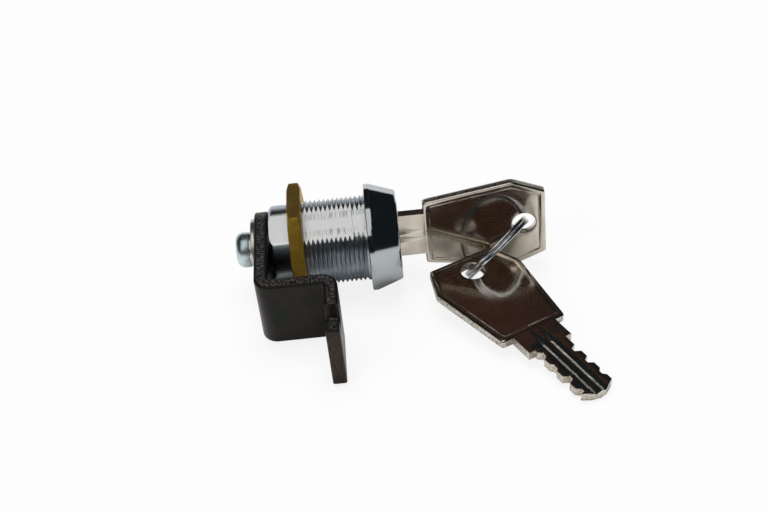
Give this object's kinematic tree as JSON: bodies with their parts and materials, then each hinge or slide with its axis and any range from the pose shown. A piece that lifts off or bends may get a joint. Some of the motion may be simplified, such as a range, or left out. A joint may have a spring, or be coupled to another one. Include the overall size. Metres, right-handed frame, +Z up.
{
  "type": "mailbox lock",
  "caption": "Small threaded cam lock for a mailbox door, with hexagon nut, cranked hook cam, key in the plug and a spare key on a split ring.",
  "frame": {"origin": "on the lock's axis, in the plane of the head's seating face, which meets the outside of the door", "axes": "+X along the lock's axis out of the front towards the key, +Z up from the surface that the lock lies on, as pictured"},
  "size_m": [0.0761, 0.0621, 0.0238],
  "materials": {
    "bright_zinc": "bright plated",
    "brass_nut": "dull brass",
    "plug_brass": "machined",
    "wafer_brass": "stamped",
    "spring_steel": "drawn wire",
    "black_steel": "black plated, satin",
    "washer_steel": "zinc plated",
    "zinc_screw": "blue zinc plated",
    "key_nickel": "bright nickel",
    "ring_steel": "bright spring steel"
  },
  "bodies": {
    "root": {"lock_body": "bright_zinc", "fixing_nut": "brass_nut"},
    "plug": {"plug": "plug_brass", "cam": "black_steel", "cam_washer": "washer_steel", "spring_washer": "washer_steel", "cam_screw": "zinc_screw", "wafer_spring_1": "spring_steel", "wafer_spring_2": "spring_steel", "wafer_spring_3": "spring_steel", "wafer_spring_4": "spring_steel", "wafer_spring_5": "spring_steel", "wafer_spring_6": "spring_steel", "wafer_spring_7": "spring_steel"},
    "key_in_lock": {"key_in_lock": "key_nickel"},
    "split_ring": {"split_ring": "ring_steel"},
    "spare_key": {"spare_key": "key_nickel"},
    "wafer_1": {"wafer_1": "wafer_brass"},
    "wafer_2": {"wafer_2": "wafer_brass"},
    "wafer_3": {"wafer_3": "wafer_brass"},
    "wafer_4": {"wafer_4": "wafer_brass"},
    "wafer_5": {"wafer_5": "wafer_brass"},
    "wafer_6": {"wafer_6": "wafer_brass"},
    "wafer_7": {"wafer_7": "wafer_brass"}
  },
  "joints": [
    {"name": "plug_turn", "type": "hinge", "parent": "root", "child": "plug", "pos_m": [0, 0, 0], "axis": [1, 0, 0], "range_deg": [-90, 0]},
    {"name": "key_slide", "type": "slide", "parent": "plug", "child": "key_in_lock", "axis": [1, 0, 0], "range_m": [0, 0.03], "deforming": ["wafer_spring_1", "wafer_spring_2", "wafer_spring_3", "wafer_spring_4", "wafer_spring_5", "wafer_spring_6", "wafer_spring_7"]},
    {"name": "ring_swivel", "type": "hinge", "parent": "key_in_lock", "child": "split_ring", "pos_m": [0.03485, 0, 0], "axis": [0, -0.9998, -0.0175], "range_deg": [0, 165]},
    {"name": "spare_key_swivel", "type": "hinge", "parent": "split_ring", "child": "spare_key", "pos_m": [0.02208, -0.00931, -0.00629], "axis": [0.084, -0.0676, 0.9942], "range_deg": [-45, 0]},
    {"name": "wafer_1_slide", "type": "slide", "parent": "plug", "child": "wafer_1", "axis": [0, -0.0175, 0.9998], "range_m": [0, 0.00075]},
    {"name": "wafer_2_slide", "type": "slide", "parent": "plug", "child": "wafer_2", "axis": [0, 0.0175, -0.9998], "range_m": [0, 0.00075]},
    {"name": "wafer_3_slide", "type": "slide", "parent": "plug", "child": "wafer_3", "axis": [0, -0.0175, 0.9998], "range_m": [0, 0.00075]},
    {"name": "wafer_4_slide", "type": "slide", "parent": "plug", "child": "wafer_4", "axis": [0, 0.0175, -0.9998], "range_m": [0, 0.00075]},
    {"name": "wafer_5_slide", "type": "slide", "parent": "plug", "child": "wafer_5", "axis": [0, -0.0175, 0.9998], "range_m": [0, 0.00075]},
    {"name": "wafer_6_slide", "type": "slide", "parent": "plug", "child": "wafer_6", "axis": [0, 0.0175, -0.9998], "range_m": [0, 0.00075]},
    {"name": "wafer_7_slide", "type": "slide", "parent": "plug", "child": "wafer_7", "axis": [0, -0.0175, 0.9998], "range_m": [0, 0.00075]}
  ],
  "couplings": [
    {"joint": "wafer_1_slide", "follows": "key_slide", "ratio": 0.025},
    {"joint": "wafer_2_slide", "follows": "key_slide", "ratio": 0.025},
    {"joint": "wafer_3_slide", "follows": "key_slide", "ratio": 0.025},
    {"joint": "wafer_4_slide", "follows": "key_slide", "ratio": 0.025},
    {"joint": "wafer_5_slide", "follows": "key_slide", "ratio": 0.025},
    {"joint": "wafer_6_slide", "follows": "key_slide", "ratio": 0.025},
    {"joint": "wafer_7_slide", "follows": "key_slide", "ratio": 0.025}
  ]
}
